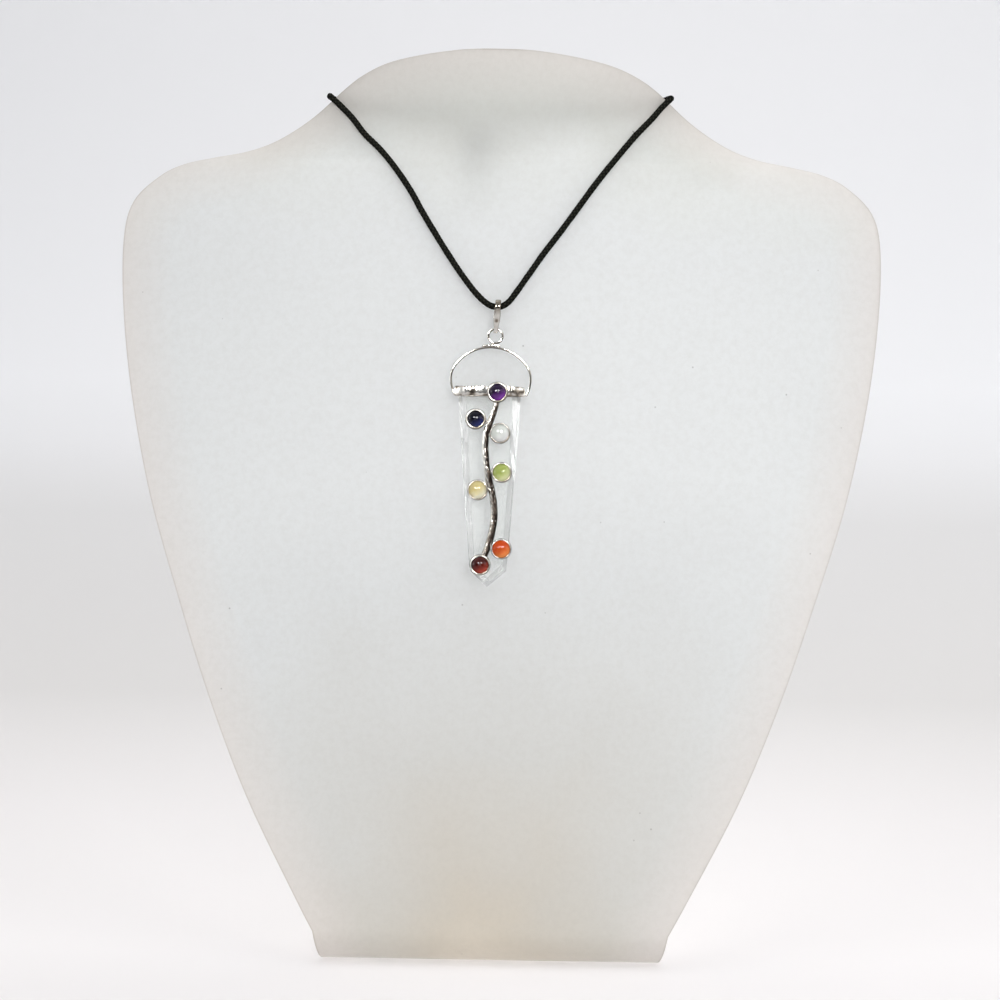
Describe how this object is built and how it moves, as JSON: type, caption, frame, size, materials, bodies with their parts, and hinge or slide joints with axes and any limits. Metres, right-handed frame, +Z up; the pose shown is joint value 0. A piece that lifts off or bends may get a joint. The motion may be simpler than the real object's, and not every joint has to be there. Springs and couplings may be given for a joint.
{
  "type": "quartz point pendant with silver branch and cabochons, on a cord and neck bust",
  "caption": "Clear quartz point in a silver mount with a wavy branch and round cabochons, hung from a cord tied round a frosted acrylic neck bust.",
  "frame": {"origin": "centre of the bounding box's bottom face, on the surface that the bust stands on", "axes": "+Z up, -Y out of the front that shows the pendant, +X to the viewer's right"},
  "size_m": [0.1986, 0.0664, 0.2317],
  "materials": {
    "frosted_acrylic": "frosted, slightly see-through acrylic sheet",
    "black_cord": "waxed cotton braid, faintly green black",
    "silver": "sterling silver, hammered, darkened in the branch's hollows",
    "clear_quartz": "clear, polished facets",
    "amethyst": "polished",
    "iolite": "polished",
    "moonstone": "polished, milky",
    "peridot": "polished",
    "citrine": "polished",
    "carnelian": "polished",
    "garnet": "polished"
  },
  "bodies": {
    "stand": {"bust_stand": "frosted_acrylic", "cord": "black_cord", "cord_knot": "black_cord"},
    "hanger": {"bail": "silver"},
    "pendant": {"silver_mount": "silver", "quartz_point": "clear_quartz", "amethyst_cabochon": "amethyst", "iolite_cabochon": "iolite", "moonstone_cabochon": "moonstone", "peridot_cabochon": "peridot", "citrine_cabochon": "citrine", "carnelian_cabochon": "carnelian", "garnet_cabochon": "garnet"}
  },
  "joints": [
    {"name": "bail_swing", "type": "hinge", "parent": "stand", "child": "hanger", "pos_m": [-0.00105, -0.00873, 0.16722], "axis": [-1, 0, 0], "range_deg": [0, 75]},
    {"name": "pendant_swing", "type": "hinge", "parent": "hanger", "child": "pendant", "pos_m": [-0.0013, -0.01002, 0.15993], "axis": [0, -0.9848, 0.1736], "range_deg": [-45, 45]}
  ]
}
